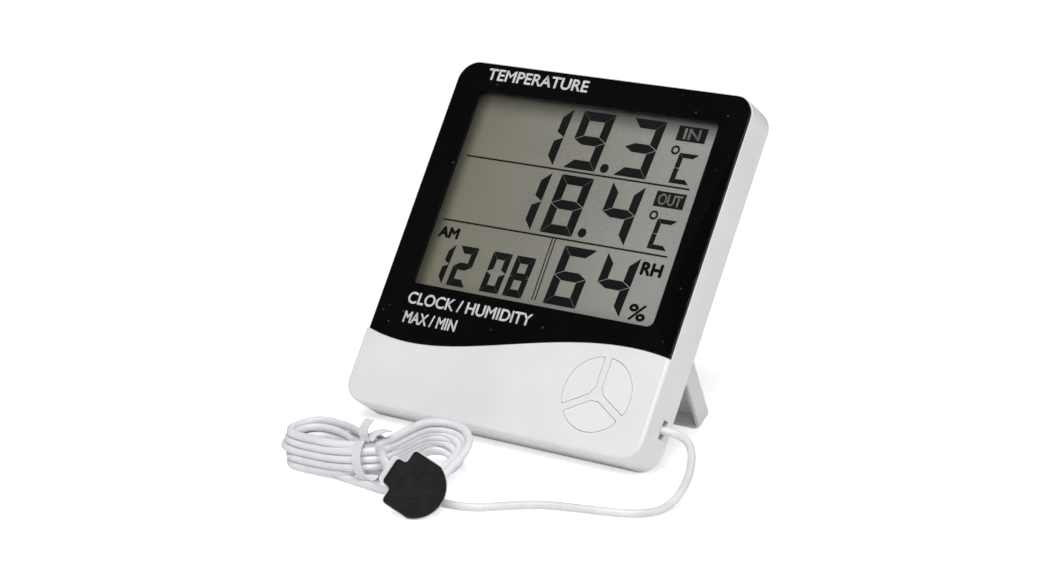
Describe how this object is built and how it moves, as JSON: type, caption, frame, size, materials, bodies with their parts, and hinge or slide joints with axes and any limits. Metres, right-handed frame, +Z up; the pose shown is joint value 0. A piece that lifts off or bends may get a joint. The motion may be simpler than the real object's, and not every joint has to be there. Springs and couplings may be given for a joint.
{
  "type": "maximum minimum thermometer",
  "caption": "Digital maximum minimum thermometer with clock and humidity display, leaning on a folding stand, with a remote probe on a thin hanked lead.",
  "frame": {"origin": "on the ground, under the middle of the instrument without its lead and probe", "axes": "+X to the instrument's right as its display is read from the front, +Y towards its back, +Z up"},
  "size_m": [0.1159, 0.1295, 0.0938],
  "materials": {
    "white_housing": "satin moulded ABS",
    "white_cover": "satin moulded ABS",
    "key_white": "satin moulded ABS",
    "clear_lens": "polished clear acrylic",
    "black_print": "screen-printed ink",
    "display_film": "polarising film",
    "display_glass": "float glass",
    "frame_plastic": "moulded",
    "zebra_rubber": "silicone",
    "board": "solder mask on glass-epoxy",
    "epoxy_black": "potted epoxy",
    "metal_bright": "nickel plated",
    "component_dark": "ceramic and epoxy",
    "component_tan": "ceramic",
    "sensor_white": "moulded",
    "switch_black": "moulded",
    "brass": "rolled",
    "battery_jacket": "printed sleeve",
    "lead_pvc": "extruded PVC",
    "tie_white": "paper and wire twist tie",
    "foam_black": "closed-cell foam"
  },
  "bodies": {
    "case": {"front_housing": "white_housing", "display_lens": "clear_lens", "lens_print": "black_print", "lcd_front_polariser": "display_film", "lcd_front_glass": "display_glass", "lcd_rear_glass": "display_glass", "lcd_reflector": "display_film", "lcd_frame": "frame_plastic", "zebra_strip": "zebra_rubber", "circuit_board": "board", "controller_blob": "epoxy_black", "quartz_crystal": "metal_bright", "chip_resistors": "component_dark", "chip_capacitors": "component_tan", "humidity_sensor": "sensor_white", "room_thermistor": "component_dark", "board_screws": "metal_bright", "case_screws": "metal_bright", "rear_cover": "white_cover", "sounder_disc": "brass", "battery_cell": "battery_jacket", "battery_contact_plus": "metal_bright", "battery_contact_minus": "metal_bright", "battery_spring": "metal_bright", "inner_lead": "lead_pvc", "lead_header": "sensor_white", "lead_stop": "tie_white", "probe_lead": "lead_pvc", "lead_hank": "lead_pvc", "hank_tie": "tie_white", "probe_lead_tail": "lead_pvc", "probe_housing": "white_housing", "probe_pad": "foam_black", "probe_bead": "component_dark", "mode_switch": "switch_black", "memory_switch": "switch_black", "adjust_switch": "switch_black", "reset_switch": "switch_black", "unit_switch": "switch_black"},
    "mode_key": {"mode_button": "key_white", "mode_plunger": "switch_black"},
    "memory_key": {"memory_button": "key_white", "memory_plunger": "switch_black"},
    "adjust_key": {"adjust_button": "key_white", "adjust_plunger": "switch_black"},
    "reset_key": {"reset_button": "key_white", "reset_plunger": "switch_black"},
    "unit_key": {"unit_button": "key_white", "unit_plunger": "switch_black"},
    "stand": {"stand": "white_cover"},
    "battery_door": {"battery_door": "white_cover"}
  },
  "joints": [
    {"name": "stand_hinge", "type": "hinge", "parent": "case", "child": "stand", "pos_m": [0, 0.00168, 0.0299], "axis": [-1, 0, 0], "range_deg": [0, 60]},
    {"name": "battery_door_slide", "type": "slide", "parent": "case", "child": "battery_door", "axis": [0, 0.5519, 0.8339], "range_m": [0, 0.052]},
    {"name": "mode_press", "type": "slide", "parent": "case", "child": "mode_key", "axis": [0, 0.8339, -0.5519], "range_m": [0, 0.0004], "stiffness_N_per_m": 900, "springref_m": -0.0002},
    {"name": "memory_press", "type": "slide", "parent": "case", "child": "memory_key", "axis": [0, 0.8339, -0.5519], "range_m": [0, 0.0004], "stiffness_N_per_m": 900, "springref_m": -0.0002},
    {"name": "adjust_press", "type": "slide", "parent": "case", "child": "adjust_key", "axis": [0, 0.8339, -0.5519], "range_m": [0, 0.0004], "stiffness_N_per_m": 900, "springref_m": -0.0002},
    {"name": "reset_press", "type": "slide", "parent": "case", "child": "reset_key", "axis": [0, -0.8339, 0.5519], "range_m": [0, 0.0004], "stiffness_N_per_m": 900, "springref_m": -0.0002},
    {"name": "unit_press", "type": "slide", "parent": "case", "child": "unit_key", "axis": [0, -0.8339, 0.5519], "range_m": [0, 0.0004], "stiffness_N_per_m": 900, "springref_m": -0.0002}
  ]
}
